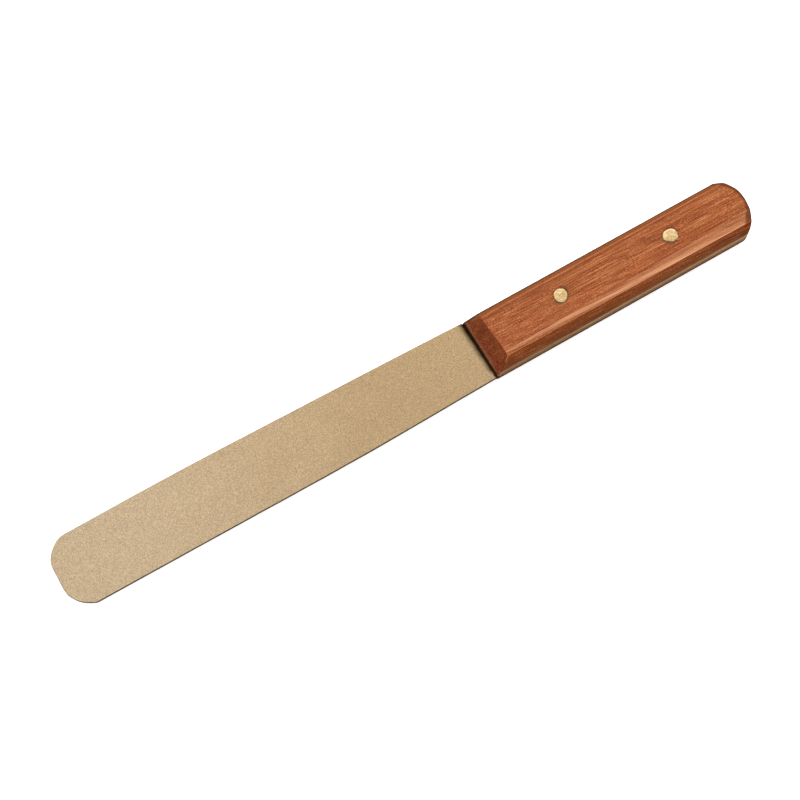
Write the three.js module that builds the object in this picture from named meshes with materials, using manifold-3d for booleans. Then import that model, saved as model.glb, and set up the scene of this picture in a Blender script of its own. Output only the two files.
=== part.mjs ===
// Flexible spatula (palette knife): a flat strip of bronze whose rear part is a full-width tang,
// held between two faceted wood scales by two solid brass pins with countersunk heads.
//
// Frame: millimetres. +X runs from the blade into the handle, +Y across the blade, +Z up, square
// to the blade's flat face. The origin lies on the handle's flat underside, on the centreline,
// midway between the pins.
//
// The pieces are drawn from the point where the blade enters the handle, halfway through its
// thickness. One group then sets them down on the origin.

import * as THREE from 'three';
import { mergeVertices } from 'three/addons/utils/BufferGeometryUtils.js';
import Module from 'manifold-3d';

// ---------------------------------------------------------------- blade dimensions
const BLADE_LENGTH = 153.4;      // bare blade, from the handle's front to the tip
const BLADE_WIDTH = 25.0;        // over the parallel front third
const BLADE_THICKNESS = 1.2;     // blade and tang are one strip
const NECK_WIDTH = 21.7;         // just in front of the handle
const NECK_GAP = 0.35;           // from the neck to the handle's front corners, along x
const TAPER_LENGTH = 104;        // from the parallel part to the handle
const TAPER_STEP = 8;            // spacing of the outline points along the taper
const TAPER_LINEAR = 0.42;       // share of the narrowing that is even; the rest is quadratic
const TIP_CORNER = 8.0;          // size of the +Y tip corner
const TIP_FLATTENING = 0.045;    // how far that corner falls inside a true round, at 45 degrees
const TIP_SEGMENTS = 14;

// ---------------------------------------------------------------- handle dimensions
const HANDLE_LENGTH = 100.6;
const HANDLE_WIDTH = 21.0;
const SCALE_THICKNESS = 5.5;     // each wood scale
const LAND_HEIGHT = 2.0;         // upright side of a scale, next to the tang
const CHAMFER_WIDTH = 3.0;       // sloping side facet, measured across
const FRONT_SKEW = 0.0275;       // the handle's front line, mm towards -X per mm of y
const BEVEL_LENGTH = 5.8;        // front bevel along x, on the centreline
const BEVEL_SKEW = 0.0835;       // top line of the bevel, mm towards -X per mm of y
const BEVEL_FOOT = 0.8;          // upright front below the bevel, on the centreline
const REAR_RADIUS = 13.9;        // rounded rear end, in plan
const REAR_SHIFT = 0.45;         // y of its centre
const REAR_SEGMENTS = 28;

// ---------------------------------------------------------------- pin dimensions
const PIN_X = { front: 31.4, rear: 72.6 };
const PIN_Y = 1.1;
const PIN_RADIUS = 1.75;
const HEAD_RADIUS = 2.3;         // pin's end, filling its countersink
const COUNTERSINK = 1.1;         // depth of the countersink
const PIN_RECESS = 0.04;         // the ends stand this far below the wood
const PIN_GAP = 0.02;            // all round a pin, so that solids never share volume
const PIN_SIDES = 32;

const HALF_THICKNESS = BLADE_THICKNESS / 2;
const HALF_BLADE = BLADE_WIDTH / 2;
const HALF_NECK = NECK_WIDTH / 2;
const HALF_HANDLE = HANDLE_WIDTH / 2;
const TOP = HALF_THICKNESS + SCALE_THICKNESS;

// ---------------------------------------------------------------- solids
const wasm = await Module();
wasm.setup();

function toSolid(geometry) {
  const bare = geometry.clone();
  bare.deleteAttribute('normal');
  bare.deleteAttribute('uv');
  const merged = mergeVertices(bare, 1e-5);
  return new wasm.Manifold(new wasm.Mesh({
    numProp: 3,
    vertProperties: new Float32Array(merged.attributes.position.array),
    triVerts: new Uint32Array(merged.index.array),
  }));
}

function toGeometry(solid) {
  const { vertProperties, triVerts } = solid.getMesh();
  const geometry = new THREE.BufferGeometry();
  geometry.setAttribute('position', new THREE.BufferAttribute(vertProperties, 3));
  geometry.setIndex(new THREE.BufferAttribute(triVerts, 1));
  geometry.computeVertexNormals();
  return geometry;
}

const toVectors = (points) => points.map(([x, y]) => new THREE.Vector2(x, y));

function extrude(outline, depth, holes = []) {
  const shape = new THREE.Shape(toVectors(outline));
  shape.holes = holes.map((hole) => new THREE.Path(toVectors(hole)));
  return new THREE.ExtrudeGeometry(shape, { depth, bevelEnabled: false });
}

// a flat plate of the given plan outline between two heights
function plate(outline, bottom, top, holes) {
  return extrude(outline, top - bottom, holes).translate(0, 0, bottom);
}

// ---------------------------------------------------------------- handle outline
const frontX = (y) => -FRONT_SKEW * y;

// rounded rear end, from the -Y side to the +Y side
function rearArc() {
  const start = Math.asin((-HALF_HANDLE - REAR_SHIFT) / REAR_RADIUS);
  const end = Math.asin((HALF_HANDLE - REAR_SHIFT) / REAR_RADIUS);
  const points = Array.from({ length: REAR_SEGMENTS + 1 }, (_, i) => {
    const angle = start + ((end - start) * i) / REAR_SEGMENTS;
    return [
      HANDLE_LENGTH - REAR_RADIUS + REAR_RADIUS * Math.cos(angle),
      REAR_SHIFT + REAR_RADIUS * Math.sin(angle),
    ];
  });
  // the ends lie exactly on the straight sides
  points[0][1] = -HALF_HANDLE;
  points[REAR_SEGMENTS][1] = HALF_HANDLE;
  return points;
}

const handlePlan = [
  [frontX(-HALF_HANDLE), -HALF_HANDLE],
  ...rearArc(),
  [frontX(HALF_HANDLE), HALF_HANDLE],
];

// ---------------------------------------------------------------- blade outline
// +Y tip corner, an even, slightly flattened round, from the +Y edge to the end
function roundedTipCorner() {
  return Array.from({ length: TIP_SEGMENTS + 1 }, (_, i) => {
    const angle = (Math.PI / 2) * (i / TIP_SEGMENTS);
    const reduction = 1 - TIP_FLATTENING * Math.sin(2 * angle) ** 2;
    return [
      -BLADE_LENGTH + TIP_CORNER * (1 - reduction * Math.sin(angle)),
      HALF_BLADE - TIP_CORNER * (1 - reduction * Math.cos(angle)),
    ];
  });
}

// -Y tip corner, from the end to the -Y edge: a round that runs out in a nearly straight cut and
// meets the edge at a blunt angle; columns x, y
const CUT_TIP_CORNER = [
  [-153.4, -3.4], [-153.26, -4.4], [-152.98, -5.4], [-152.55, -6.4],
  [-151.95, -7.3], [-151.2, -8.2], [-150.3, -9.1], [-149.2, -10.0],
  [-147.9, -10.92], [-146.6, -11.74], [-145.5, -12.4], [-144.6, -12.5],
];

// +Y edge from the start of the taper to the neck: a slow narrowing that steepens
function taperedEdge() {
  const points = [];
  for (let x = -TAPER_LENGTH; x < 0; x += TAPER_STEP) {
    const along = (x + TAPER_LENGTH) / TAPER_LENGTH;
    const narrowing = TAPER_LINEAR * along + (1 - TAPER_LINEAR) * along * along;
    points.push([x, HALF_BLADE - (HALF_BLADE - HALF_NECK) * narrowing]);
  }
  return points;
}

const edge = taperedEdge();
const bladePlan = [
  ...roundedTipCorner(),
  ...CUT_TIP_CORNER,
  ...edge.map(([x, y]) => [x, -y]),
  [frontX(-HALF_HANDLE) - NECK_GAP, -HALF_NECK],
  ...handlePlan,
  [frontX(HALF_HANDLE) - NECK_GAP, HALF_NECK],
  ...edge.toReversed(),
];

// ---------------------------------------------------------------- pins and their holes
// A pin, or with gap and reach the cutter for its hole: gap widens it all round, and reach
// carries it straight on past both ends.
function pinGeometry(gap = 0, reach = 0) {
  const end = TOP - PIN_RECESS;
  const shank = PIN_RADIUS + gap;
  const head = HEAD_RADIUS + gap;
  const upperHalf = [[shank, end - COUNTERSINK], [head, end]];
  if (reach > 0) upperHalf.push([head, end + reach]);
  upperHalf.push([0, end + reach]);
  const lowerHalf = upperHalf.map(([radius, z]) => [radius, -z]).reverse();
  const profile = toVectors([...lowerHalf, ...upperHalf]);
  return new THREE.LatheGeometry(profile, PIN_SIDES).rotateX(Math.PI / 2);
}

// outline of the straight hole a pin passes through in the tang
function tangHole(pinX) {
  return Array.from({ length: PIN_SIDES }, (_, i) => {
    const angle = (2 * Math.PI * i) / PIN_SIDES;
    const radius = PIN_RADIUS + PIN_GAP;
    return [pinX + radius * Math.cos(angle), PIN_Y + radius * Math.sin(angle)];
  });
}

function bladeGeometry() {
  const holes = Object.values(PIN_X).map(tangHole);
  return plate(bladePlan, -HALF_THICKNESS, HALF_THICKNESS, holes);
}

// ---------------------------------------------------------------- wood scales
// the scale's cross-section run along the handle: its slopes trim the blank's side facets
function facetedBar() {
  const sideMargin = 2;
  const heightMargin = 1;
  const endMargin = 10;
  const outer = HALF_HANDLE + sideMargin;
  const inner = HALF_HANDLE - CHAMFER_WIDTH;
  const bottom = HALF_THICKNESS - heightMargin;
  const landTop = HALF_THICKNESS + LAND_HEIGHT;
  // the slopes are carried on down past the blank's sides
  const slopeFoot = landTop - (sideMargin * (TOP - landTop)) / CHAMFER_WIDTH;
  const section = [
    [-outer, bottom],
    [outer, bottom],
    [outer, slopeFoot],
    [inner, TOP],
    [inner, TOP + heightMargin],
    [-inner, TOP + heightMargin],
    [-inner, TOP],
    [-outer, slopeFoot],
  ];
  // shape x -> y, shape y -> z, extrusion -> x
  return extrude(section, HANDLE_LENGTH + 2 * endMargin).applyMatrix4(new THREE.Matrix4().set(
    0, 0, 1, -endMargin,
    1, 0, 0, 0,
    0, 1, 0, 0,
    0, 0, 0, 1,
  ));
}

// the block cut away above the front bevel
function bevelCutter() {
  const slope = (SCALE_THICKNESS - BEVEL_FOOT) / BEVEL_LENGTH;
  const forward = 14;            // reach along x in front of the bevel's top line
  const behind = 5;              // and behind it
  const halfSpan = 30;           // reach across, each side
  const profile = [
    [-forward, -slope * forward],
    [behind, slope * behind],
    [-forward, slope * behind],
  ];
  // shape x -> x, shape y -> z, extrusion -> -y, sheared so that the top line is skewed in plan
  return extrude(profile, 2 * halfSpan).applyMatrix4(new THREE.Matrix4().set(
    1, 0, BEVEL_SKEW, BEVEL_LENGTH - BEVEL_SKEW * halfSpan,
    0, 0, -1, halfSpan,
    0, 1, 0, TOP,
    0, 0, 0, 1,
  ));
}

function upperScaleGeometry() {
  const holeReach = 2;
  let body = toSolid(plate(handlePlan, HALF_THICKNESS, TOP))
    .intersect(toSolid(facetedBar()))
    .subtract(toSolid(bevelCutter()));
  for (const x of Object.values(PIN_X)) {
    const hole = toSolid(pinGeometry(PIN_GAP, holeReach)).translate([x, PIN_Y, 0]);
    body = body.subtract(hole);
  }
  return toGeometry(body);
}

// the same shape mirrored through the tang
function mirrorInZ(geometry) {
  const mirrored = geometry.clone().scale(1, 1, -1);
  // mirroring turns the triangles inside out, so their winding is reversed
  const corners = mirrored.index.array;
  for (let i = 0; i < corners.length; i += 3) {
    [corners[i], corners[i + 1]] = [corners[i + 1], corners[i]];
  }
  mirrored.computeVertexNormals();
  return mirrored;
}

// ---------------------------------------------------------------- materials
const standard = (settings) => new THREE.MeshStandardMaterial(settings);
const bronze = () => standard({ color: 0xcbb496, roughness: 0.55, metalness: 1.0 });
const wood = () => standard({ color: 0xa4603a, roughness: 0.42, metalness: 0.0 });
const brass = () => standard({ color: 0xe3c58f, roughness: 0.38, metalness: 1.0 });

// ---------------------------------------------------------------- assembly
const part = new THREE.Group();
const tool = new THREE.Group();
tool.position.set(-(PIN_X.front + PIN_X.rear) / 2, 0, TOP);
part.add(tool);

function add(name, geometry, material, x = 0, y = 0) {
  const mesh = new THREE.Mesh(geometry, material);
  mesh.name = name;
  mesh.position.set(x, y, 0);
  tool.add(mesh);
}

const upperScale = upperScaleGeometry();
add('blade', bladeGeometry(), bronze());
add('handle_scale_upper', upperScale, wood());
add('handle_scale_lower', mirrorInZ(upperScale), wood());
for (const [place, x] of Object.entries(PIN_X)) {
  add(`pin_${place}`, pinGeometry(), brass(), x, PIN_Y);
}

export default part;
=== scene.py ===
"""A flat bronze blade with a wooden handle: two scales held on the tang by two peened pins.

The blade points along -X and the handle along +X. Z is up, through the thickness. The near side
is -Y and the far side +Y. Shapes are drawn in millimetres from the point where the blade enters
the handle, halfway through the blade's thickness; place() sets that point down in the frame.
"""

import math

import bmesh
import bpy
from mathutils import Matrix, Vector


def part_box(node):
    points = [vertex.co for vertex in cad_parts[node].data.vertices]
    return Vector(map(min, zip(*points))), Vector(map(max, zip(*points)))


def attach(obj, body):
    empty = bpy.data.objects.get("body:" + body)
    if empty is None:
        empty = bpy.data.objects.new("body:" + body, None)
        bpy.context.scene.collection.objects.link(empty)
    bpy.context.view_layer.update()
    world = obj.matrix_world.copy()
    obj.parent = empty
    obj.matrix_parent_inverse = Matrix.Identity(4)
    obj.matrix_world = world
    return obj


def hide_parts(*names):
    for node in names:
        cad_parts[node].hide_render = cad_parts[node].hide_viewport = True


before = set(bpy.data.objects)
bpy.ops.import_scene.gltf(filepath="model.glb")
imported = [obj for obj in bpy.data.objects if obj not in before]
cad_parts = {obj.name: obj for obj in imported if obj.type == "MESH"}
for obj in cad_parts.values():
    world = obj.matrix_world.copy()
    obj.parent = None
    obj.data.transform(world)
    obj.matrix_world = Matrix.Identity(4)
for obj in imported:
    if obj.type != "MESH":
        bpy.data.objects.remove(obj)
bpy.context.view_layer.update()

# ------------------------------------------------------------------ sizes, in mm
MM = 1000.0  # mm in a metre
blade_lo, blade_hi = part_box("blade")
upper_lo, upper_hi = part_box("handle_scale_upper")
BLADE_TOP = (blade_hi[2] - blade_lo[2]) / 2 * MM  # half the blade's thickness
HALF_WIDTH = (upper_hi[1] - upper_lo[1]) / 2 * MM  # of the handle
FRONT_SKEW = 0.0275  # slope of the handle's front end in plan
FRONT = upper_lo[0] + FRONT_SKEW * HALF_WIDTH / MM  # metres
MIDDLE = (blade_lo[2] + blade_hi[2]) / 2  # metres
WOOD_TOP = (upper_hi[2] - MIDDLE) * MM
HANDLE_LENGTH = (upper_hi[0] - FRONT) * MM
REAR_RADIUS = 13.9
REAR_SHIFT = 0.45  # of the rear arc's centre, towards +Y

BLADE_LENGTH = (FRONT - blade_lo[0]) * MM
BLADE_HALF = (blade_hi[1] - blade_lo[1]) / 2 * MM
NECK_HALF = 10.85  # half the blade's width against the handle
TAPER = 104  # length over which the blade narrows to the neck
TIP_RADIUS = 8.0

CHAMFER_FOOT = BLADE_TOP + 2.0  # height where the long chamfers start
FLAT_HALF = HALF_WIDTH - 3.0  # half the width of the wood's flat top
BEVEL_LENGTH = 5.8
BEVEL_SKEW = 0.0835
FOOT = {1: 0.8, -1: 2.0}  # wood left under the front bevel: upper scale, lower scale
GAP = 0.15  # the wood starts this far behind the step of the tang


def pin_place(node):
    lo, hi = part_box(node)
    return ((lo[0] + hi[0]) / 2 - FRONT) * MM, (lo[1] + hi[1]) / 2 * MM


PINS = {node: pin_place(node) for node in ("pin_front", "pin_rear")}


def place(x, y, z):
    return Vector((FRONT + x / MM, y / MM, MIDDLE + z / MM))


# ------------------------------------------------------------------ helpers
def smoothstep(lo, hi, value):
    t = min(1.0, max(0.0, (value - lo) / (hi - lo)))
    return t * t * (3 - 2 * t)


def spline(before, start, end, after, t):
    """Catmull-Rom value at t between start and end."""
    return 0.5 * (
        2 * start
        + (end - before) * t
        + (2 * before - 5 * start + 4 * end - after) * t * t
        + (3 * start - before - 3 * end + after) * t**3
    )


def smooth_curve(points, steps):
    """An open Catmull-Rom curve through 2-D points, with so many steps a span."""
    out = []
    last = len(points) - 1
    for i in range(last):
        span = (points[max(0, i - 1)], points[i], points[i + 1], points[min(last, i + 2)])
        for step in range(steps):
            out.append(tuple(spline(*values, step / steps) for values in zip(*span)))
    out.append(tuple(points[-1]))
    return out


def link_object(name, data):
    obj = bpy.data.objects.new(name, data)
    bpy.context.scene.collection.objects.link(obj)
    return obj


def mesh_object(bm, name):
    mesh = bpy.data.meshes.new(name)
    bm.to_mesh(mesh)
    bm.free()
    return link_object(name, mesh)


def to_object(bm, name, side=1):
    """Ends a drawing: mm to the frame, mirrored through the blade's mid-plane for side -1."""
    for v in bm.verts:
        v.co = place(v.co.x, v.co.y, side * v.co.z)
    if side < 0:
        bmesh.ops.reverse_faces(bm, faces=bm.faces)
    return mesh_object(bm, name)


def prism(bm, outline, bottom, top):
    """Raises an outline; gives the bottom face, the top face and the list of wall faces."""
    low = [bm.verts.new((x, y, bottom)) for x, y in outline]
    high = [bm.verts.new((x, y, top)) for x, y in outline]
    floor_face = bm.faces.new(list(reversed(low)))
    top_face = bm.faces.new(high)
    walls = []
    for i in range(len(outline)):
        j = (i + 1) % len(outline)
        walls.append(bm.faces.new((low[i], low[j], high[j], high[i])))
    return floor_face, top_face, walls


def bake_modifiers(obj):
    depsgraph = bpy.context.evaluated_depsgraph_get()
    mesh = bpy.data.meshes.new_from_object(obj.evaluated_get(depsgraph))
    obj.modifiers.clear()
    old = obj.data
    obj.data = mesh
    bpy.data.meshes.remove(old)


def finish_shading(obj, angle):
    """Smooth rounds, flat facets: normals weighted by face size, split at corners over angle."""
    mesh = obj.data
    for face in mesh.polygons:
        face.use_smooth = True
    mesh.set_sharp_from_angle(angle=math.radians(angle))
    weighted = obj.modifiers.new("normals", "WEIGHTED_NORMAL")
    weighted.mode = "FACE_AREA"
    weighted.weight = 80
    weighted.keep_sharp = True
    bake_modifiers(obj)


def round_edges(obj, width, segments):
    """Rounds each edge by its own bevel weight times width."""
    bevel = obj.modifiers.new("round", "BEVEL")
    bevel.width = width / MM
    bevel.segments = segments
    bevel.limit_method = "WEIGHT"
    bevel.offset_type = "OFFSET"
    bevel.use_clamp_overlap = False
    bevel.miter_outer = "MITER_SHARP"
    bevel.loop_slide = True
    bake_modifiers(obj)


def cut(obj, cutter):
    boolean = obj.modifiers.new("cut", "BOOLEAN")
    boolean.operation = "DIFFERENCE"
    boolean.solver = "EXACT"
    boolean.object = cutter
    bake_modifiers(obj)
    mesh = cutter.data
    bpy.data.objects.remove(cutter)
    bpy.data.meshes.remove(mesh)


# ------------------------------------------------------------------ handle outline
REAR_STEPS = 48
NEAR_SHOULDER = 1.7  # length of the rounded corner at each end of the rear arc
FAR_SHOULDER = 0.2


def front_x(y):
    return -FRONT_SKEW * y


def askew(x, y):
    """The handle is turned slightly on the blade's axis, and a hair wider at the front."""
    widen = 1 + 0.016 * (1 - x / 95)
    shift = 0.39 - 0.0062 * x
    return y * widen - shift - 0.10 * smoothstep(6, 28, x) + 0.06 * smoothstep(84, 97, x)


def rear_x(y):
    """The rear end: a wide arc, fuller on the near side and flattened on the far side."""
    x = HANDLE_LENGTH - REAR_RADIUS + math.sqrt(REAR_RADIUS**2 - (y - REAR_SHIFT) ** 2)
    x += 0.22 * smoothstep(1.0, 5.0, -y) + 0.42 * smoothstep(5.0, 9.5, -y)
    return (
        x
        - 0.72 * smoothstep(2.2, 8.2, y)
        + 0.16 * smoothstep(8.4, HALF_WIDTH, y)
        + 0.16 * smoothstep(2, 5, y)
        - 0.50 * smoothstep(7.4, 9.2, y)
    )


def rear_arc():
    """Round the rear end in plan, near side to far side, with small rounded shoulders."""
    ys = [-HALF_WIDTH + 2 * HALF_WIDTH * i / 400 for i in range(401)]
    points = [(rear_x(y), y) for y in ys]
    lengths = [0.0]
    for start, end in zip(points, points[1:]):
        lengths.append(lengths[-1] + math.dist(start, end))

    def along(distance):
        i = max(j for j, length in enumerate(lengths[:-1]) if length <= distance)
        t = (distance - lengths[i]) / (lengths[i + 1] - lengths[i])
        return tuple(a + t * (b - a) for a, b in zip(points[i], points[i + 1]))

    def shoulder(start, corner, end):
        return [
            tuple(
                (1 - t) ** 2 * a + 2 * t * (1 - t) * b + t * t * c
                for a, b, c in zip(start, corner, end)
            )
            for t in (i / 7 for i in range(8))
        ]

    total = lengths[-1]
    near, far = NEAR_SHOULDER, FAR_SHOULDER
    out = shoulder((points[0][0] - near, -HALF_WIDTH), points[0], along(near))
    out += [along(near + (total - near - far) * i / REAR_STEPS) for i in range(1, REAR_STEPS)]
    out += shoulder(along(total - far), points[-1], (points[-1][0] - far, HALF_WIDTH))
    return out


def handle_outline(gap=0.0):
    return [
        (gap + front_x(-HALF_WIDTH), -HALF_WIDTH),
        *rear_arc(),
        (gap + front_x(HALF_WIDTH), HALF_WIDTH),
    ]


# ------------------------------------------------------------------ blade and tang
DRAWN_LENGTH = 153.4  # the blade length that NEAR_TIP was drawn for
# (x, y) round the near corner of the tip
NEAR_TIP = [
    (-153.18, -3.4), (-153.02, -4.4), (-152.83, -5.4), (-152.5, -6.4), (-152.0, -7.3),
    (-151.42, -8.2), (-150.72, -9.1), (-149.85, -10.0), (-148.6, -10.92), (-147.2, -11.72),
    (-146.0, -12.32),
]  # fmt: skip
# The long edges wander from true: (x, near edge, far edge), outward.
WANDER = [
    (-160, 0.00, 0.08), (-140, 0.00, 0.12), (-120, 0.00, 0.25), (-105, 0.00, 0.22),
    (-90, 0.12, 0.16), (-75, 0.32, 0.03), (-60, 0.50, -0.08), (-45, 0.62, -0.12),
    (-30, 0.55, -0.14), (-15, 0.47, -0.17), (0, 0.45, -0.20),
]  # fmt: skip
NICK_X, NICK_DEPTH, NICK_SPREAD = -12.6, 0.16, 0.45  # a small nick in the near edge
STRAIGHT_START = -140  # the evenly spaced points of both long edges start here
NECK_STEP = 0.35  # the blade's outline ends this far in front of the handle


def blade_half(x):
    t = min(1.0, max(0.0, (x + TAPER) / TAPER))
    return BLADE_HALF - (BLADE_HALF - NECK_HALF) * (0.42 * t + 0.58 * t * t)


def wander(x, y):
    for (x0, near0, far0), (x1, near1, far1) in zip(WANDER, WANDER[1:]):
        if x0 <= x <= x1:
            t = smoothstep(x0, x1, x)
            outward = far0 + (far1 - far0) * t if y > 0 else near0 + (near1 - near0) * t
            return y * (1 + outward / blade_half(x))
    return y


def tip_outline():
    """Round the tip in plan, from the far edge to the near edge."""
    points = []
    for i in range(33):
        angle = math.pi / 2 * i / 32
        flatten = 1 - 0.045 * math.sin(2 * angle) ** 2
        x = -BLADE_LENGTH + TIP_RADIUS * (1 - flatten * math.sin(angle))
        points.append((x, BLADE_HALF - TIP_RADIUS * (1 - flatten * math.cos(angle))))
    near = smooth_curve(NEAR_TIP, 3) + [(-145.5, -12.46), (-144.8, -12.5)]
    shift = DRAWN_LENGTH - BLADE_LENGTH
    return points + [(x + shift, y) for x, y in near]


def near_edge():
    points = []
    x = float(STRAIGHT_START)
    while x < -1:
        nick = NICK_DEPTH * math.exp(-(((x - NICK_X) / NICK_SPREAD) ** 2))
        points.append((x, -blade_half(x) + nick))
        x += 0.4 if -14.2 < x < -11.2 else 4.0  # finer across the nick
    return points + [(-NECK_STEP + front_x(-HALF_WIDTH), -NECK_HALF)]


def far_edge():
    corner = (-NECK_STEP + front_x(HALF_WIDTH), NECK_HALF)
    return [corner] + [(x, blade_half(x)) for x in range(-4, STRAIGHT_START - 1, -4)]


def blade_outline():
    before_tang = [(x, wander(x, y)) for x, y in tip_outline() + near_edge()]
    tang = [(x, askew(x, y)) for x, y in handle_outline()]
    return before_tang + tang + [(x, wander(x, y)) for x, y in far_edge()]


def blade_object():
    bm = bmesh.new()
    prism(bm, blade_outline(), -BLADE_TOP, BLADE_TOP)
    bmesh.ops.recalc_face_normals(bm, faces=bm.faces)
    weight = bm.edges.layers.float.new("bevel_weight_edge")
    for edge in bm.edges:
        a, b = edge.verts
        if abs(a.co.z - b.co.z) < 1e-6:
            in_handle = (a.co.x + b.co.x) / 2 > 0.4
            edge[weight] = 0.10 if in_handle else 0.24
    obj = to_object(bm, "blade_strip")
    round_edges(obj, width=1.0, segments=4)
    for centre in PINS.values():
        drill = bmesh.new()
        ends = (-BLADE_TOP - 1, BLADE_TOP + 1)
        tube(drill, [ring(drill, centre, z, HOLE_RADIUS) for z in ends])
        cut(obj, to_object(drill, "cutter"))
    finish_shading(obj, angle=40)
    return obj


# ------------------------------------------------------------------ peened pins
# Head radii every 45 degrees from +X, seen from above. Each end is hammered, so none is round.
HEADS = {
    ("pin_front", 1): (2.27, 2.40, 2.42, 2.50, 2.30, 2.42, 2.45, 2.20),
    ("pin_rear", 1): (2.67, 2.57, 2.27, 2.48, 2.54, 2.12, 2.33, 2.66),
    ("pin_front", -1): (2.45, 2.36, 2.22, 2.40, 2.52, 2.38, 2.28, 2.50),
    ("pin_rear", -1): (2.30, 2.52, 2.44, 2.26, 2.40, 2.58, 2.36, 2.24),
}
# The head's profile, from the middle out and down: (share of the head radius, depth)
HEAD_STEPS = [
    (0.10, -0.030), (0.30, -0.026), (0.52, -0.018), (0.72, -0.006), (0.87, 0.012),
    (0.945, 0.034), (0.980, 0.062), (0.996, 0.105), (1.0, 0.160), (0.97, 0.42),
]  # fmt: skip
# The countersink, upwards: (height over the wood, share of head radius, play, ragged or not)
HOLE_STEPS = [
    (-0.42, 0.975, 0.035, 0), (-0.20, 1, 0.07, 0), (-0.05, 1, 0.12, 1), (0.02, 1, 0.17, 1),
    (1.0, 1, 0.6, 0),
]  # fmt: skip
SHANK_RADIUS = 1.75
HOLE_RADIUS = SHANK_RADIUS + 0.03
HEAD_TOP = WOOD_TOP - 0.02
HEAD_TILT = {1: 0.35, -1: 2.1}  # direction in which each end's face rises
AROUND = 96


def head_radius(key, angle):
    """Periodic cubic through the eight radii."""
    radii = HEADS[key]
    turn = (angle / (2 * math.pi)) % 1.0 * 8
    i = int(turn)
    return spline(*(radii[(i + j) % 8] for j in (-1, 0, 1, 2)), turn - i)


def ring(bm, centre, z, radius):
    """A ring of vertices; z and radius are numbers or functions of the angle."""
    verts = []
    for i in range(AROUND):
        angle = 2 * math.pi * i / AROUND
        reach = radius(angle) if callable(radius) else radius
        x = centre[0] + reach * math.cos(angle)
        y = centre[1] + reach * math.sin(angle)
        verts.append(bm.verts.new((x, y, z(angle) if callable(z) else z)))
    return verts


def skin(bm, rings):
    for a, b in zip(rings, rings[1:]):
        for i in range(AROUND):
            j = (i + 1) % AROUND
            bm.faces.new((a[i], a[j], b[j], b[i]))


def tube(bm, rings):
    """Skins a list of rings, bottom to top, and caps both ends."""
    skin(bm, rings)
    bm.faces.new(list(reversed(rings[0])))
    bm.faces.new(rings[-1])


def pin_head(bm, node, side):
    """Rings of one end, from the face inwards to the shank."""

    def head_ring(share, depth):
        def height(angle):
            lift = 0.022 * share * math.cos(angle - HEAD_TILT[side])
            return side * (HEAD_TOP - depth + lift)

        return ring(bm, PINS[node], height, lambda a: share * head_radius((node, side), a))

    rings = [head_ring(*step) for step in HEAD_STEPS]
    return rings + [ring(bm, PINS[node], side * (WOOD_TOP - 1.15), SHANK_RADIUS)]


def pin_object(node):
    """A nearly flat face with a worn rim at each end, a cone in the countersink, and the shank."""
    bm = bmesh.new()
    top = pin_head(bm, node, 1)
    low = pin_head(bm, node, -1)
    skin(bm, low + list(reversed(top)))
    for rim, side in ((low[0], -1), (top[0], 1)):
        centre = bm.verts.new((*PINS[node], side * (HEAD_TOP + 0.031)))
        for i in range(AROUND):
            j = (i + 1) % AROUND
            pair = (rim[i], rim[j]) if side > 0 else (rim[j], rim[i])
            bm.faces.new((centre, *pair))
    bmesh.ops.recalc_face_normals(bm, faces=bm.faces)
    obj = to_object(bm, node + "_peened")
    finish_shading(obj, angle=50)
    return obj


def hole_cutter(node, side):
    """The countersunk hole in one scale, opening to a thin gap round the pin at the surface."""
    bm = bmesh.new()

    def sink_ring(height, share, play, ragged):
        def radius(angle):
            wobble = 0.03 * math.sin(3 * angle + 1.3 * side) + 0.02 * math.sin(5 * angle + 0.7)
            return share * head_radius((node, side), angle) + play + ragged * wobble

        return ring(bm, PINS[node], WOOD_TOP + height, radius)

    shank = [ring(bm, PINS[node], z, HOLE_RADIUS) for z in (BLADE_TOP - 1.0, WOOD_TOP - 1.17)]
    tube(bm, shank + [sink_ring(*step) for step in HOLE_STEPS])
    return to_object(bm, "cutter", side)


# ------------------------------------------------------------------ wood scales
FACETS = "top near_facet near far far_front bevel foot rear side_near side_far bottom".split()
TAG = {name: i + 1 for i, name in enumerate(FACETS)}
WALLS = ("rear", "side_near", "side_far")


def slice_off(bm, layer, name, point, normal):
    """Cuts away everything in front of a plane and closes the cut with one face."""
    result = bmesh.ops.bisect_plane(
        bm,
        geom=list(bm.verts) + list(bm.edges) + list(bm.faces),
        dist=1e-5,
        plane_co=point,
        plane_no=normal,
        clear_outer=True,
    )
    edges = [e for e in result["geom_cut"] if isinstance(e, bmesh.types.BMEdge)]
    for face in bmesh.ops.contextual_create(bm, geom=edges)["faces"]:
        face[layer] = TAG[name]


def corner_radius(names):
    """How far a corner of the wood is rounded over, by the facets that meet there."""
    on_top = names & {"top", "near_facet"}
    if "bottom" in names:
        return 0.09
    if "foot" in names:
        return 0.24
    if "rear" in names:
        return 0.72 if on_top else 0.30 if names & {"far", "side_far"} else 0.55
    if "bevel" in names:
        return 0.34 if on_top else 0.42
    return 0.45


def ball_centre(corner, normals, radius):
    """The point that lies radius inside every facet, by least squares."""
    matrix, pull = Matrix.Diagonal((1e-5, 1e-5, 1e-5)), Vector((0, 0, 0))
    for n in normals:
        for i in range(3):
            for j in range(3):
                matrix[i][j] += n[i] * n[j]
            pull[i] -= n[i] * radius
    return corner + matrix.inverted() @ pull


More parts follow.
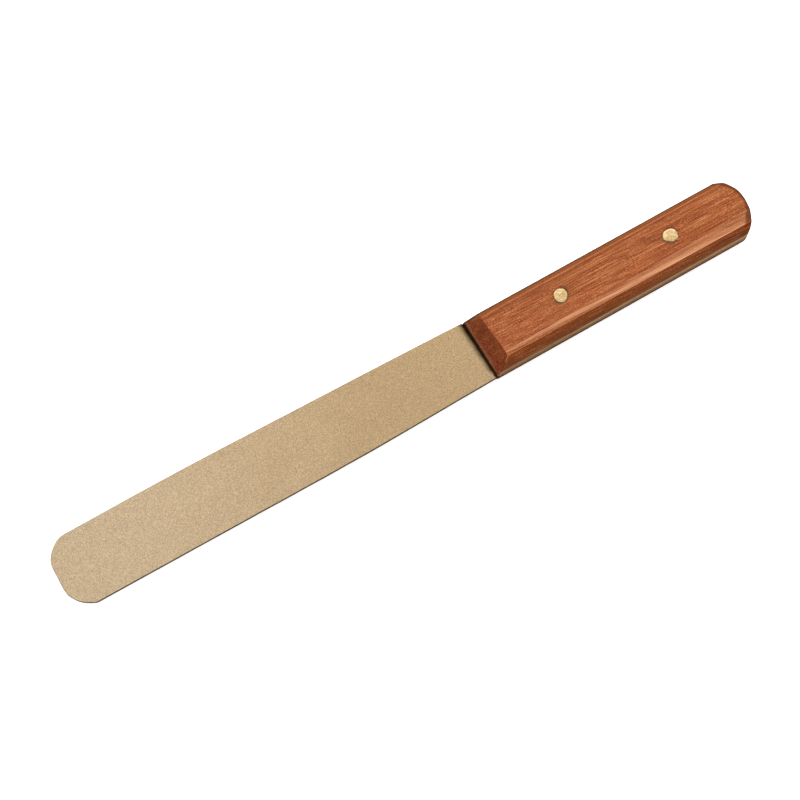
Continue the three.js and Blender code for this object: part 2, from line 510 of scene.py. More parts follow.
def ball_points(vertex, layer):
    """Points on a ball set into one corner so that it touches the facets there."""
    faces = list(vertex.link_faces)
    names = [FACETS[face[layer] - 1] for face in faces]
    radius = corner_radius(set(names))
    centre = ball_centre(vertex.co, [face.normal for face in faces], radius)
    wall = [face.normal for face, name in zip(faces, names) if name in WALLS]
    rest = [face.normal for face, name in zip(faces, names) if name not in WALLS]
    if len(wall) > 1 and wall[0].angle(wall[1]) < math.radians(12):
        # facets of one curved wall count as one direction
        wall = [sum(wall, Vector()).normalized()]
    normals = wall + rest
    steps = 7 if radius > 0.2 else 3
    if len(normals) == 2:
        mixes = [(1 - i / steps, i / steps) for i in range(steps + 1)]
    else:
        mixes = [
            (i / steps, j / steps, (steps - i - j) / steps)
            for i in range(steps + 1)
            for j in range(steps + 1 - i)
        ]
    points = []
    for mix in mixes:
        outward = sum((n * share for n, share in zip(normals, mix)), Vector())
        point = centre + outward.normalized() * radius
        for _ in range(3):
            for face in faces:  # never outside any of the facets
                point -= face.normal * max(0.0, face.normal.dot(point - vertex.co))
        points.append(point)
    return points


def soften(bm, layer):
    """Rounds the faceted block: a ball is set into each corner and a skin drawn round them all."""
    bmesh.ops.recalc_face_normals(bm, faces=bm.faces)
    bm.normal_update()
    points = [point for vertex in bm.verts for point in ball_points(vertex, layer)]
    bm.clear()
    for point in points:
        bm.verts.new(point)
    hull = bmesh.ops.convex_hull(bm, input=bm.verts)
    spare = hull["geom_interior"] + hull["geom_unused"]
    inside = {v for v in spare if isinstance(v, bmesh.types.BMVert)}
    bmesh.ops.delete(bm, geom=list(inside), context="VERTS")
    loose = [v for v in bm.verts if not v.link_faces]
    bmesh.ops.delete(bm, geom=loose, context="VERTS")
    bmesh.ops.remove_doubles(bm, verts=bm.verts, dist=0.004)
    bmesh.ops.dissolve_limit(
        bm, angle_limit=math.radians(0.25), verts=bm.verts, edges=bm.edges
    )
    bmesh.ops.recalc_face_normals(bm, faces=bm.faces)


def cut_facets(bm, layer, foot):
    """Slices the long chamfers, the front bevel and two shallow facets off the block."""
    rise, run = WOOD_TOP - CHAMFER_FOOT, HALF_WIDTH - FLAT_HALF
    near = Vector((0, -rise, run)).normalized()
    slice_off(bm, layer, "near", Vector((0, -FLAT_HALF, WOOD_TOP)), near)
    far = Vector((-0.0025 * rise, rise, run - 0.35)).normalized()
    slice_off(bm, layer, "far", Vector((0, FLAT_HALF + 0.35, WOOD_TOP)), far)
    slope = (WOOD_TOP - BLADE_TOP - foot) / BEVEL_LENGTH
    bevel = Vector((-slope, -slope * BEVEL_SKEW, 1)).normalized()
    slice_off(bm, layer, "bevel", Vector((BEVEL_LENGTH, 0, WOOD_TOP)), bevel)
    # in front of the bevel's top edge the far chamfer is a little deeper, towards the corner
    turn = math.radians(8.0)
    across = math.cos(turn) * Vector((rise, run - 0.4)).normalized()
    far_front = Vector((-math.sin(turn), *across))
    slice_off(bm, layer, "far_front", Vector((5.3, FLAT_HALF + 0.4, WOOD_TOP)), far_front)
    # a shallow facet along the near edge of the flat, wider towards the rear
    front, rear = Vector((6.0, -5.95, WOOD_TOP)), Vector((100.0, -4.2, WOOD_TOP))
    fall = Vector((0, -1, -math.tan(math.radians(7.0))))
    normal = -(rear - front).cross(fall)
    slice_off(bm, layer, "near_facet", front, normal.normalized())


def scale_object(name, side):
    bm = bmesh.new()
    layer = bm.faces.layers.int.new("facet")
    bottom, top, walls = prism(bm, handle_outline(GAP), BLADE_TOP, WOOD_TOP)
    bottom[layer] = TAG["bottom"]
    top[layer] = TAG["top"]
    for face in walls:
        face[layer] = TAG["rear"]
    walls[0][layer] = TAG["side_near"]
    walls[-2][layer] = TAG["side_far"]
    walls[-1][layer] = TAG["foot"]
    cut_facets(bm, layer, FOOT[side])
    soften(bm, layer)
    for v in bm.verts:
        v.co.y = askew(v.co.x, v.co.y)
    obj = to_object(bm, name, side)
    for node in PINS:
        cut(obj, hole_cutter(node, side))
    finish_shading(obj, angle=32)
    return obj


# ------------------------------------------------------------------ node graphs
def srgb(*channels):
    """Linear colour from sRGB channels of 0 to 255."""

    def linear(c):
        c /= 255
        return c / 12.92 if c <= 0.04045 else ((c + 0.055) / 1.055) ** 2.4

    return (*(linear(c) for c in channels), 1.0)


class Value:
    """An output in a node graph. Arithmetic on values adds Math nodes."""

    def __init__(self, graph, socket):
        self.graph = graph
        self.socket = socket

    def __add__(self, other):
        return self.graph.math("ADD", self, other)

    def __radd__(self, other):
        return self.graph.math("ADD", other, self)

    def __sub__(self, other):
        return self.graph.math("SUBTRACT", self, other)

    def __rsub__(self, other):
        return self.graph.math("SUBTRACT", other, self)

    def __mul__(self, other):
        return self.graph.math("MULTIPLY", self, other)

    def __truediv__(self, other):
        return self.graph.math("DIVIDE", self, other)

    def __abs__(self):
        return self.graph.math("ABSOLUTE", self)

    def max(self, other):
        return self.graph.math("MAXIMUM", self, other)

    def min(self, other):
        return self.graph.math("MINIMUM", self, other)

    def step(self, lo, hi, before=0.0, after=1.0):
        """A smooth step: before up to lo, after from hi on."""
        limits = {"From Min": lo, "From Max": hi, "To Min": before, "To Max": after}
        inputs = {"Value": self, **limits}
        return self.graph.add("MapRange", inputs, interpolation_type="SMOOTHSTEP")

    def fall(self, lo, hi):
        """1 up to lo, 0 from hi on."""
        return self.step(lo, hi, before=1.0, after=0.0)

    def window(self, lo, hi, fade):
        """1 between lo and hi, fading to 0 over fade on each side."""
        return all_of(self.step(lo - fade, lo), self.fall(hi, hi + fade))

    def wobble(self, size):
        """A 0..1 texture turned into a signed wobble of the given size."""
        return (self - 0.5) * size

    def toward(self, colour, share):
        """This colour, mixed towards another by a share of 0..1."""
        return self.graph.mix(share, self, colour)

    def times(self, colour):
        return self.graph.mix(1.0, self, colour, "MULTIPLY")


def all_of(first, *masks):
    for mask in masks:
        first = first * mask
    return first


def distance(x, y):
    return x.graph.math("SQRT", x * x + y * y)


class Graph:
    """Adds nodes to a tree and hands back their outputs as values."""

    def __init__(self, tree):
        self.tree = tree

    def feed(self, socket, value):
        if isinstance(value, Value):
            self.tree.links.new(value.socket, socket)
        else:
            socket.default_value = value

    def add(self, kind, inputs, output=0, **settings):
        node = self.tree.nodes.new("ShaderNode" + kind)
        for setting, value in settings.items():
            setattr(node, setting, value)
        for socket, value in inputs.items():
            self.feed(node.inputs[socket], value)
        return Value(self, node.outputs[output])

    def math(self, operation, *operands, clamp=False):
        inputs = dict(enumerate(operands))
        return self.add("Math", inputs, operation=operation, use_clamp=clamp)

    def mix(self, share, start, end, mode="MIX"):
        inputs = {0: share, 6: start, 7: end}
        return self.add("Mix", inputs, output=2, data_type="RGBA", blend_type=mode)


class Surface(Graph):
    """A material with one Principled shader. Its textures are in mm from the drawing origin."""

    def __init__(self, name):
        self.material = bpy.data.materials.new(name)
        self.material.use_nodes = True
        super().__init__(self.material.node_tree)
        self.tree.nodes.clear()
        output = self.tree.nodes.new("ShaderNodeOutputMaterial")
        self.shader = self.tree.nodes.new("ShaderNodeBsdfPrincipled")
        self.tree.links.new(self.shader.outputs[0], output.inputs[0])
        placing = {
            "Vector": self.add("TexCoord", {}, output="Object"),
            "Location": (-FRONT * MM, 0, -MIDDLE * MM),
            "Scale": (MM, MM, MM),
        }
        self.position = self.add("Mapping", placing)
        self.normal = self.add("NewGeometry", {}, output="Normal")

    def split(self, vector):
        first = self.add("SeparateXYZ", {0: vector})
        return [Value(self, socket) for socket in first.socket.node.outputs]

    def vector(self, x, y, z):
        return self.add("CombineXYZ", {0: x, 1: y, 2: z})

    def noise(self, scale, shift=(0, 0, 0), detail=3.0, rough=0.5, turn=0.0, source=None):
        """Noise with its own scale along each axis, per mm, turned about Z."""
        placing = {
            "Vector": source or self.position,
            "Location": shift,
            "Rotation": (0, 0, turn),
            "Scale": scale,
        }
        inputs = {
            "Vector": self.add("Mapping", placing),
            "Scale": 1.0,
            "Detail": detail,
            "Roughness": rough,
        }
        return self.add("TexNoise", inputs)

    def ramp(self, value, stops):
        """A colour ramp of (position, sRGB colour) stops."""
        colour = self.add("ValToRGB", {0: value})
        elements = colour.socket.node.color_ramp.elements
        while len(elements) < len(stops):
            elements.new(0.5)
        for element, (position, channels) in zip(elements, stops):
            element.position = position
            element.color = srgb(*channels)
        return colour

    def bump(self, height, depth, strength, normal=None):
        """Relief of the given depth in mm, on top of an earlier normal if there is one."""
        inputs = {"Strength": strength, "Distance": depth / MM, "Height": height}
        if normal is not None:
            inputs["Normal"] = normal
        return self.add("Bump", inputs)

    def finish(self, inputs):
        for name, value in inputs.items():
            self.feed(self.shader.inputs[name], value)
        return self.material


# ------------------------------------------------------------------ wood material
# In the masks below, limits on x, y, z and height are in mm, and limits on the normal are
# parts of a unit normal. Every toward() ends in how strongly its colour is laid on.

# Single grain lines on the flat: (y, half width, x start, x end, fade, strength)
LIGHT_LINES = [
    (0.35, 0.40, 36, 68, 3, 1),
    (0.62, 0.34, 77, 87, 2, 1),
    (5.25, 0.30, 33, 72, 6, 0.8),
]
DARK_LINES = [
    (1.25, 0.34, 54, 69, 3, 1),
    (-3.35, 0.42, 90.5, 103, 3.0, 1.8),
    (6.15, 0.55, 4, 40, 8, 0.8),
    (-2.6, 0.45, 62, 76, 3, 0.5),
]


def wood_textures(wood):
    """Sets up the places, directions and textures that the layers of the wood share."""
    wood.x, wood.y, wood.z = wood.split(wood.position)
    wood.normal_x, wood.normal_y, normal_z = wood.split(wood.normal)
    wood.height = abs(wood.z)  # from the blade's mid-plane, either way
    wood.tilt = abs(wood.normal_x)  # how far the surface faces an end
    wood.flat = abs(normal_z)  # how far it faces up or down
    # the grain runs straight down the handle, with only a slow drift
    drift = wood.noise((0.012, 0.03, 0.03), detail=1.0).wobble(1.0)
    ripple = wood.noise((0.06, 0.2, 0.2), (7, 3, 1), detail=1.0).wobble(0.30)
    bend = drift + ripple
    # it also runs out slightly towards one side, and bends most at the front
    ahead = (32.0 - wood.x).max(0.0)
    bend = bend + (wood.x * 0.022 - ahead * ahead * 0.0006)
    grain = wood.vector(wood.x, wood.y + bend, wood.z + bend * 0.6)
    wood.grain = grain
    wood.broad = wood.noise((0.010, 0.26, 0.26), (3.1, 0, 0), detail=2.0, source=grain)
    wood.streak = wood.noise((0.020, 3.1, 3.1), (0, 5.2, 0), detail=1.0, source=grain)
    wood.fibre = wood.noise((0.040, 6.2, 6.2), (1.7, 0, 9.4), 1.5, rough=0.6, source=grain)
    wood.hair = wood.noise((0.25, 9.0, 9.0), (6, 1, 2), 1.0, rough=0.6, source=grain)
    wood.blot = wood.noise((0.30, 0.42, 0.30), (5, 7, 1), rough=0.6)
    wood.speck = wood.noise((1.3, 2.6, 2.6), (3, 3, 7), detail=2.0, rough=0.6)
    pores = wood.noise((0.42, 5.6, 5.6), (4, 8, 2), detail=1.0, source=grain)
    wood.pore = pores.step(0.66, 0.75)


def grain_colour(wood):
    fleck = wood.noise((2.4, 4.0, 4.0), (11, 2, 5), detail=1.0, source=wood.grain)
    tone = 0.5 + wood.broad.wobble(0.20) + wood.streak.wobble(0.62)
    tone = tone + wood.fibre.wobble(1.75) + wood.hair.wobble(0.80)
    tone = wood.math("ADD", tone, fleck.wobble(1.40), clamp=True)
    stops = [
        (0.08, (101, 29, 1)),
        (0.32, (134, 58, 10)),
        (0.50, (152, 75, 25)),
        (0.68, (169, 92, 42)),
        (0.94, (207, 132, 82)),
    ]
    colour = wood.ramp(tone, stops)
    # some bands run more towards olive, some redder
    hue = wood.noise((0.022, 0.55, 0.55), (2, 9, 4), detail=2.0, source=wood.grain)
    colour = colour.toward(srgb(146, 86, 24), hue.step(0.50, 0.68, before=0.0, after=0.20))
    colour = colour.toward(srgb(158, 70, 33), hue.step(0.32, 0.50, before=0.18, after=0.0))
    # open pores: short dark dashes along the grain
    return colour.toward(srgb(92, 42, 20), wood.pore * 0.35)


def line_mask(wood, lines, wobble):
    """1 on any of the lines along X, 0 away from them."""
    total = None
    for y, half, start, end, fade, strength in lines:
        mask = abs((wood.y + wobble) - y).fall(0.0, half)
        ends = wood.x.step(start - fade, start + fade) * wood.x.fall(end - fade, end + fade)
        mask = mask * ends
        if strength != 1:
            mask = mask * strength
        total = mask if total is None else total.max(mask)
    return total


def add_lines(wood, colour):
    wobble = wood.noise((0.09, 0.0, 0.0), (2, 0, 0)).wobble(0.9)
    light = line_mask(wood, LIGHT_LINES, wobble)
    light = light * wood.fibre.step(0.25, 0.6, before=0.25, after=1.0)
    colour = colour.toward(srgb(205, 138, 88), light * 0.60)
    return colour.toward(srgb(112, 46, 12), line_mask(wood, DARK_LINES, wobble) * 0.38)


def add_ends(wood, colour):
    """Cut across the grain, the wood turns dark red-brown. Gives the colour and the mask."""
    ends = wood.tilt.step(0.22, 0.56).max(wood.normal_x.step(0.06, 0.36))
    stain = wood.mix(wood.blot.step(0.38, 0.66), srgb(121, 52, 33), srgb(136, 73, 38))
    stain = stain.toward(srgb(98, 40, 18), wood.y.step(2.0, 8.5, before=0.0, after=0.30))
    stain = stain.toward(srgb(60, 18, 8), wood.speck.step(0.36, 0.52, before=0.70, after=0.0))
    stain = stain.toward(srgb(168, 96, 58), wood.speck.step(0.52, 0.66, before=0.0, after=0.62))
    # the rear end shows the cut fibres: faint growth layers and open pores
    layers = wood.noise((0.02, 0.30, 1.7), (1, 2, 3), detail=2.0)
    pits = wood.noise((0.6, 3.6, 3.6), (8, 1, 3), detail=1.0)
    rear = wood.mix(layers.step(0.36, 0.62), srgb(66, 34, 19), srgb(104, 58, 33))
    rear = rear.toward(srgb(38, 20, 12), pits.step(0.58, 0.68, before=0.0, after=0.7))
    rear = rear.toward(srgb(128, 84, 54), pits.step(0.30, 0.40, before=0.45, after=0.0))
    stain = stain.toward(rear, wood.normal_x.step(0.02, 0.22, before=0.0, after=0.88))
    return colour.toward(stain, ends * 0.90), ends


def add_front(wood, colour, ends):
    """The front bevel. Gives the colour and the masks of the lap, the foot with its painted
    reflection and its black line of painted shadow.
    """
    # the end's finish laps a little way onto the far chamfer
    lap = all_of(
        wood.x.fall(5.15, 5.65), wood.normal_y.step(0.30, 0.60), wood.tilt.fall(0.30, 0.45)
    )
    colour = colour.toward(srgb(104, 50, 24), lap * 0.85)
    # a faint lighter patch on the far half
    patch = all_of(
        (wood.y + wood.blot.wobble(5.0)).window(4.6, 8.2, fade=1.3),
        wood.x.window(1.2, 3.4, fade=0.9),
        ends,
    )
    colour = colour.toward(srgb(150, 88, 38), patch * 0.12)
    # the foot is painted pale and grey as a painted reflection in its steep lower part, over a
    # black line of painted shadow that stands in for the gap where it meets the blade
    behind = wood.x + wood.y * FRONT_SKEW
    foot = all_of(
        (behind + wood.blot.wobble(2.4)).fall(0.80, 1.45),
        wood.normal_x.fall(-0.35, -0.15),
        wood.y.step(-9.0, -6.0, before=0.35, after=1.0),
    )
    colour = colour.toward(srgb(150, 108, 76), foot * 0.42)
    edge = (behind + wood.speck.wobble(0.5)).fall(0.45, 0.80)
    gap_shadow_line = edge * wood.height.fall(2.4, 2.8)
    return colour.toward(srgb(34, 14, 6), gap_shadow_line * 0.90), lap, foot, gap_shadow_line


def add_near_wear_and_highlights(wood, colour):
    """Pale wear and painted highlights on the near side of the top."""
    # the shallow facet is painted pale in thin streaks, rubbed lighter wood with a painted
    # highlight on it, brightest along a line above the chamfer
    facet = all_of(
        wood.normal_y.window(-0.20, -0.09, fade=0.035),
        wood.flat.step(0.90, 0.97),
        wood.tilt.fall(0.10, 0.25),
    )
    ridge = (wood.y + wood.x * 0.0150) + (6.20 + wood.broad.wobble(0.8))
    ridge = abs(ridge).fall(0.1, 1.00)
    glint = wood.x.step(15.0, 70.0, before=0.08, after=0.36) + ridge * 0.60
    glint = glint * wood.fibre.step(0.32, 0.60, before=0.25, after=1.1)
    colour = colour.toward(srgb(224, 159, 116), facet * glint)
    # a painted highlight on the rounded edge between that facet and the near chamfer
    crest = wood.normal_y.window(-0.42, -0.21, fade=0.06) * wood.tilt.fall(0.12, 0.30)
    crest = crest * wood.x.step(20.0, 70.0, before=0.30, after=0.80)
    colour = colour.toward(srgb(230, 168, 128), crest)
    # a painted highlight on the edge between the near chamfer and the front bevel
    hip = all_of(
        wood.normal_x.window(-0.50, -0.16, fade=0.07),
        wood.normal_y.window(-0.66, -0.20, fade=0.08),
        wood.height.step(4.2, 5.3),
    )
    return colour.toward(srgb(214, 158, 116), hip * 0.70)


def add_far_chamfer(wood, colour):
    """Painted shade on the far chamfer, with a painted highlight along its upper edge and a dark
    line inside it.
    """
    # painted shade: the far chamfer is darkened
    deep = wood.normal_y.step(0.62, 0.74) * wood.flat.step(0.3, 0.5)
    colour = colour.toward(srgb(113, 64, 31), deep * 0.72)
    # painted highlight along the rounded upper edge of the far chamfer
    edge = all_of(
        wood.normal_y.window(0.20, 0.60, fade=0.08),
        wood.tilt.fall(0.12, 0.30),
        wood.x.step(5.5, 6.5),
    )
    colour = colour.toward(srgb(192, 108, 46), edge * 0.60)
    inner = abs(wood.y - (6.55 + wood.x * 0.0135)).fall(0.15, 0.60)
    return colour.toward(srgb(120, 50, 10), inner * wood.flat.step(0.97, 0.99) * 0.62)


def add_rear_wear(wood, colour):
    """Round the rear end the edge is worn dark. Gives the colour and the mask."""
    from_x = wood.x - (HANDLE_LENGTH - REAR_RADIUS)
    from_y = wood.y - (REAR_SHIFT + 0.2)
    to_end = (REAR_RADIUS + 0.15) - distance(from_x, from_y)
    to_end = to_end - wood.y.step(-5.0, -3.6, before=0.50, after=0.0)
    to_end = to_end - wood.y.step(2.5, 8.5, before=0.0, after=0.95)
    worn = all_of(
        (to_end + wood.blot.wobble(0.5)).fall(0.80, 1.75),
        wood.x.step(88.0, 91.0),
        wood.flat.step(0.05, 0.30),
    )
    share = worn * wood.normal_y.step(-0.60, -0.30, before=0.20, after=0.80)
    return colour.toward(srgb(96, 50, 26), share), worn


def add_sides(wood, colour):
    """The long sides. Gives the colour and the mask of the upright land along the seam."""
    side = abs(wood.normal_y).step(0.45, 0.65) * wood.tilt.fall(0.32, 0.58)
    # towards the seam the chamfers grow dull
    dull = all_of(
        side,
        (wood.height + wood.blot.wobble(1.2)).fall(2.7, 4.6),
        wood.normal_y.step(-0.3, 0.3, before=1.0, after=0.45),
    )
    colour = colour.toward(srgb(112, 76, 48), dull * 0.50)
    # a dark band low on the far side, faint at the front of the near side
    band = wood.normal_y.step(-0.3, 0.3).max(wood.x.step(20.0, 45.0, before=0.12, after=0.0))
    band = all_of(side, wood.height.fall(3.15, 4.1), band)
    colour = colour.toward(srgb(62, 38, 20), band * 0.85)
    # the land is grey-brown
    land = all_of(
        wood.height.fall(2.45, 2.75),
        wood.flat.fall(0.25, 0.5),
        abs(wood.normal_y).step(0.80, 0.96),
    )
    dusty = wood.mix(wood.fibre.step(0.3, 0.7), srgb(136, 88, 54), srgb(158, 108, 70))
    colour = colour.toward(dusty, land * 0.66)
    # painted shade: darker on the lower scale's near side, which lies in shadow
    lower_land_shade = all_of(land, wood.z.fall(-1.3, -0.9), wood.normal_y.fall(-0.9, -0.6))
    colour = colour.toward(srgb(70, 50, 36), lower_land_shade * 0.70)
    # a painted reflection of the pale surroundings makes the upper scale's near side paler, less
    # so at the front
    land_reflection = all_of(
        wood.z.window(1.3, 2.5, fade=0.42),
        wood.normal_y.fall(-0.65, -0.50),
        wood.tilt.fall(0.32, 0.58),
        wood.x.step(15.0, 42.0, before=0.70, after=1.0),
    )
    land_reflection = land_reflection * wood.fibre.step(0.3, 0.6, before=0.70, after=0.92)
    return colour.toward(srgb(204, 162, 122), land_reflection), land


def add_grime_and_seam_shade(wood, colour):
    # a dirty ring round each pin, heavier at two opposite corners
    for pin_x, pin_y in PINS.values():
        from_x, from_y = wood.x - pin_x, wood.y - pin_y
        radius = distance(from_x, from_y)
        radius = radius + wood.noise((0.6, 0.6, 0.6), detail=2.0).wobble(0.9)
        corners = (from_x * from_y / 9.0).max(-0.3).min(0.45)
        ring_mask = (radius - corners).step(2.30, 3.20, before=0.62, after=0.0)
        colour = colour.toward(srgb(74, 40, 20), ring_mask)
    # and painted shade in the seam against the tang
    seam = wood.height.step(BLADE_TOP + 0.02, BLADE_TOP + 0.26, before=0.62, after=0.0)
    return colour.toward(srgb(44, 28, 18), seam)


def wood_material():
    wood = Surface("scale_wood_grain")
    wood_textures(wood)
    colour = add_lines(wood, grain_colour(wood))
    colour, ends = add_ends(wood, colour)
    colour, lap, foot, gap_shadow_line = add_front(wood, colour, ends)
    colour = add_far_chamfer(wood, add_near_wear_and_highlights(wood, colour))
    colour, worn = add_rear_wear(wood, colour)
    colour, land = add_sides(wood, colour)
    colour = add_grime_and_seam_shade(wood, colour)
    # dry wood is rougher and shines less
    dry = land.max(foot).max(ends * 0.70)
    dry = dry.max(lap.max(wood.normal_y.step(0.50, 0.65)))
    dry = dry.max(gap_shadow_line.max(worn * 0.8))
    relief = wood.fibre * 0.55 + wood.streak * 0.5 + wood.hair * 0.25 - wood.pore * 0.7
    normal = wood.bump(relief, depth=0.05, strength=0.55)
    slow = wood.noise((0.10, 0.30, 0.30), (1, 1, 8), detail=1.0)
    return wood.finish({
        "Base Color": colour,
        "Roughness": wood.streak.step(0.25, 0.75, before=0.40, after=0.32) + dry * 0.28,
        "Specular IOR Level": 0.21 - dry * 0.18,
        "Coat Weight": 0.05 - dry * 0.05,
        "Specular Tint": (1.0, 0.82, 0.66, 1.0),
        "Coat Roughness": 0.20,
        "Normal": wood.bump(slow, depth=0.10, strength=0.30, normal=normal),
    })


# ------------------------------------------------------------------ metal materials
def blade_metal(metal, x, mottle, pit):
    """Golden near the handle, pinker and a little lighter towards the point, and mottled."""
    tint = metal.noise((1.25, 1.25, 1.25), (1, 4, 6), detail=2.0, rough=0.6)
    cloud = metal.noise((0.045, 0.07, 0.07), (5, 0, 0), rough=0.55)
    along = (x + cloud.wobble(50.0)).step(-135, -15)
    base = metal.mix(along, srgb(185, 165, 136), srgb(165, 142, 108))
    warm = metal.mix(tint.step(0.42, 0.70), (1.0, 1.0, 1.0, 1.0), (1.03, 1.01, 0.92, 1.0))
    base = base.times(warm.toward((1.0, 0.96, 0.99, 1.0), tint.fall(0.30, 0.56)))
    tone = mottle.step(0.26, 0.74, before=0.56, after=1.44)
    base = base.times(metal.vector(tone, tone, tone))
    return base.toward(srgb(140, 112, 74), pit * 0.22)


def blade_material():
    metal = Surface("blade_bronze_matte")
    x, y, _ = metal.split(metal.position)
    _, normal_y, normal_z = metal.split(metal.normal)
    flat = abs(normal_z)
    grain = metal.noise((2.9, 2.9, 2.9), detail=1.5, rough=0.6)
    fine = metal.noise((5.6, 5.6, 5.6), (3, 8, 1), detail=1.0, rough=0.6)
    mottle = grain * 0.62 + fine * 0.38
    pit = metal.noise((1.3, 1.3, 1.3), (9, 4, 2), detail=1.0).step(0.69, 0.77)
    base = blade_metal(metal, x, mottle, pit)
    # the rim is painted darker and browner: partly darker metal, partly painted shade, heaviest on
    # the near side; lighter where it runs inside the handle
    near_rim_shade = flat.fall(0.93, 0.9995) * normal_y.fall(-0.12, -0.01)
    rim = flat.fall(0.70, 0.997).max(near_rim_shade)
    rim_colour = metal.mix(x.step(0.2, 0.6), srgb(52, 39, 23), srgb(156, 125, 78))
    base = base.toward(rim_colour, rim * 0.94)
    # a painted shadow of the wood's front end fades out on the blade in front of it
    ahead = (x + y * (FRONT_SKEW + 0.012)) * -1.0
    lump = metal.noise((0.55, 0.55, 0.55), (2, 2, 0), rough=0.6)
    outside = x.fall(1.2, 1.5)
    front_shadow = ahead + lump.wobble(0.9) + y.step(-10.2, -7.5, before=0.75, after=0.0)
    front_shadow = front_shadow.step(-0.1, 2.3, before=0.90, after=0.0) * outside
    base = base.toward(srgb(52, 40, 25), front_shadow)
    # the corner against the wood is painted black: dirt, and painted shadow in the gap under the
    # wood's foot; redder in clots of dirt at the near side
    clot = y.fall(-10.5, -5.0) * lump.step(0.45, 0.60)
    dirt_and_shadow = (ahead + lump.wobble(0.7) - clot * 0.55).fall(-0.15, 0.50) * outside
    base = base.toward(metal.mix(clot, srgb(30, 13, 4), srgb(68, 30, 15)), dirt_and_shadow)
    return metal.finish({
        "Base Color": base,
        "Metallic": (0.58 - dirt_and_shadow * 0.56) * (1.0 - rim * 0.80),
        "Specular IOR Level": 0.08,
        "Roughness": mottle.step(0.3, 0.7, before=0.50, after=0.62) + dirt_and_shadow * 0.35,
        "Normal": metal.bump(mottle - pit * 0.5, depth=0.030, strength=0.7),
    })


def pin_material(name, angle):
    """Brass with two crossing sets of scratches and a darker rim."""
    brass = Surface(name)
    first = brass.noise((0.5, 7.0, 1.0), detail=2.0, rough=0.7, turn=angle)
    second = brass.noise((0.9, 9.0, 1.0), (4, 1, 0), detail=2.0, rough=0.7, turn=angle + 1.1)
    patches = brass.noise((1.0, 1.0, 1.0), (2, 6, 0))
    scratches = first * 0.6 + second * 0.4
    stops = [(0.38, (128, 101, 60)), (0.50, (176, 149, 105)), (0.61, (214, 190, 148))]
    base = brass.ramp(scratches * 0.6 + patches * 0.4, stops)
    rim = abs(brass.split(brass.normal)[2]).fall(0.55, 0.97)
    return brass.finish({
        "Base Color": base.toward(srgb(96, 66, 32), rim * 0.7),
        "Metallic": 0.75,
        "Specular IOR Level": 0.2,
        "Roughness": scratches.step(0.3, 0.7, before=0.36, after=0.50),
        "Normal": brass.bump(scratches, depth=0.035, strength=0.7),
    })


# ------------------------------------------------------------------ pieces
def finish_piece(obj, node, material):
    obj.data.materials.clear()
    obj.data.materials.append(material)
    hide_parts(node)
    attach(obj, "root")


wood_look = wood_material()
finish_piece(blade_object(), "blade", blade_material())
for where, side in (("upper", 1), ("lower", -1)):
    scale = scale_object(where + "_wood_scale", side)
    finish_piece(scale, "handle_scale_" + where, wood_look)
for node, angle in (("pin_front", 0.5), ("pin_rear", 2.0)):
    finish_piece(pin_object(node), node, pin_material(node + "_brass", angle))


# ------------------------------------------------------------------ floor, light, camera
def make_floor(size):
    """Laid down, the tool tips onto its point, so the floor runs from the lower scale's front
    edge up to the underside of the tip."""
    heel = place(BEVEL_LENGTH + 0.2, 0, -WOOD_TOP)
    toe = place(-BLADE_LENGTH + 1.0, 0, -BLADE_TOP)
    bm = bmesh.new()
    corners = ((-1, -1), (1, -1), (1, 1), (-1, 1))
    bm.faces.new([bm.verts.new((x * size, y * size, 0)) for x, y in corners])
    floor = mesh_object(bm, "floor")
    floor.location = heel + Vector((0, 0, -0.00002))
    floor.rotation_euler = (0, math.atan2(toe.z - heel.z, heel.x - toe.x), 0)
    paper = bpy.data.materials.new("floor_paper")
    paper.use_nodes = True
    graph = Graph(paper.node_tree)
    # seen directly, the paper glows like a light table, so it stays white under the tool
    looks = {
        "Base Color": (0.85, 0.85, 0.845, 1),
        "Roughness": 0.9,
        "Specular IOR Level": 0.1,
        "Emission Color": (1, 1, 1, 1),
        "Emission Strength": graph.add("LightPath", {}, output="Is Camera Ray") * 0.80,
    }
    shader = paper.node_tree.nodes["Principled BSDF"]
    for name, value in looks.items():
        graph.feed(shader.inputs[name], value)
    floor.data.materials.append(paper)


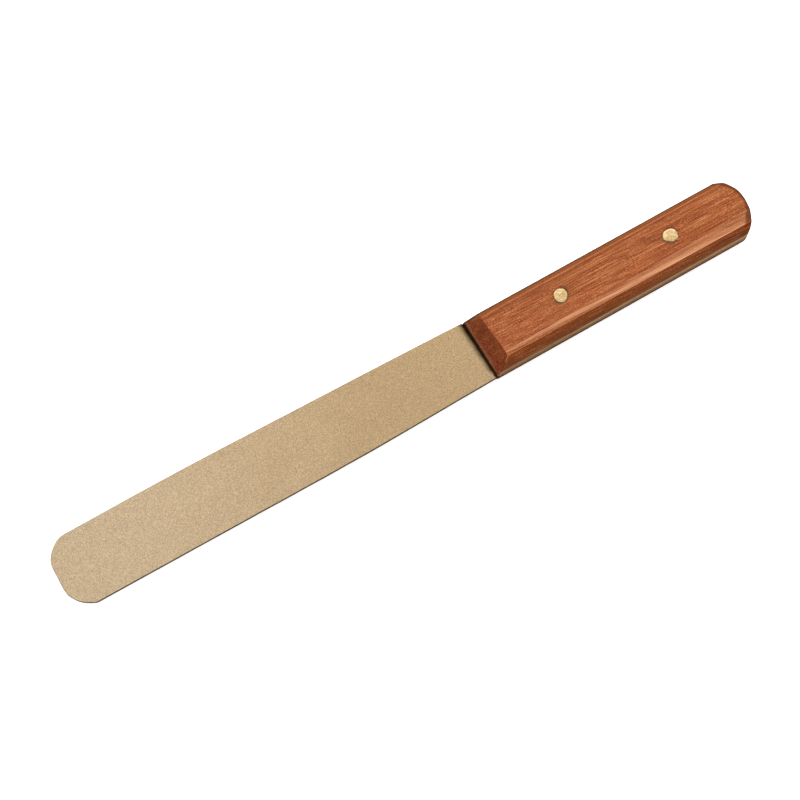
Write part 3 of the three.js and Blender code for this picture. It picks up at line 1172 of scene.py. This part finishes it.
def make_world():
    """A soft tent, brighter on the far side, and plain white where the camera sees it."""
    world = bpy.data.worlds.new("studio")
    bpy.context.scene.world = world
    world.use_nodes = True
    graph = Graph(world.node_tree)
    bright_side = Vector((0.40, 0.90, 0.10)).normalized()
    directions = {0: graph.add("TexCoord", {}, output="Generated"), 1: bright_side}
    facing = graph.add("VectorMath", directions, output="Value", operation="DOT_PRODUCT")
    limits = {"From Min": -1.0, "From Max": 1.0, "To Min": 0.24, "To Max": 0.76}
    tent = graph.add("MapRange", {"Value": facing, **limits})
    seen = graph.add("LightPath", {}, output="Is Camera Ray")
    strength = graph.add("Mix", {0: seen, 2: tent, 3: 1.05}, data_type="FLOAT")
    background = world.node_tree.nodes["Background"]
    background.inputs["Color"].default_value = (1.0, 0.995, 0.985, 1)
    graph.feed(background.inputs["Strength"], strength)


def area(name, position, target, size, energy, colour=(1, 1, 1)):
    light = bpy.data.lights.new(name, "AREA")
    light.shape = "RECTANGLE"
    light.size, light.size_y = size
    light.energy = energy
    light.color = colour
    lamp = link_object(name, light)
    lamp.location = position
    lamp.rotation_euler = (target - position).to_track_quat("-Z", "Y").to_euler()


def make_camera(target, distance_back, azimuth, elevation, roll, lens):
    """Looks down at target from distance_back metres; angles in radians, lens in mm."""
    forward = Vector((
        math.cos(elevation) * math.sin(azimuth),
        math.cos(elevation) * math.cos(azimuth),
        -math.sin(elevation),
    ))
    level = Vector((math.cos(azimuth), -math.sin(azimuth), 0))
    upright = level.cross(forward)
    right = level * math.cos(roll) + upright * math.sin(roll)
    up = -level * math.sin(roll) + upright * math.cos(roll)
    eye = target - forward * distance_back
    data = bpy.data.cameras.new("camera")
    data.sensor_width = 36
    data.lens = lens
    data.clip_start, data.clip_end = 0.01, 50
    camera = link_object("camera", data)
    camera.matrix_world = Matrix((*zip(right, up, -forward, eye), (0, 0, 0, 1)))
    bpy.context.scene.camera = camera


make_floor(size=6.0)
make_world()
centre = place(-26, 0, 0)
key_place = centre + 1.35 * Vector((0.42, 0.60, 0.68))
area("key", key_place, centre, size=(0.8, 0.7), energy=11.5, colour=(1.0, 0.99, 0.97))
fill_place = centre + 1.3 * Vector((-0.45, 0.30, 0.84))
area("fill", fill_place, centre, size=(0.5, 0.5), energy=2.4)
strip_place = centre + Vector((0.22, 0.01, 1.25))
area("strip", strip_place, centre + Vector((0.08, 0, 0)), size=(1.1, 0.20), energy=2.6)
make_camera(
    target=place(-30.445, -2.007, 0),
    distance_back=0.485873,
    azimuth=math.radians(17.114),
    elevation=math.radians(73.607),
    roll=math.radians(-12.315),
    lens=67.5,
)
bpy.context.scene.view_settings.view_transform = "Standard"
bpy.context.scene.view_settings.look = "None"
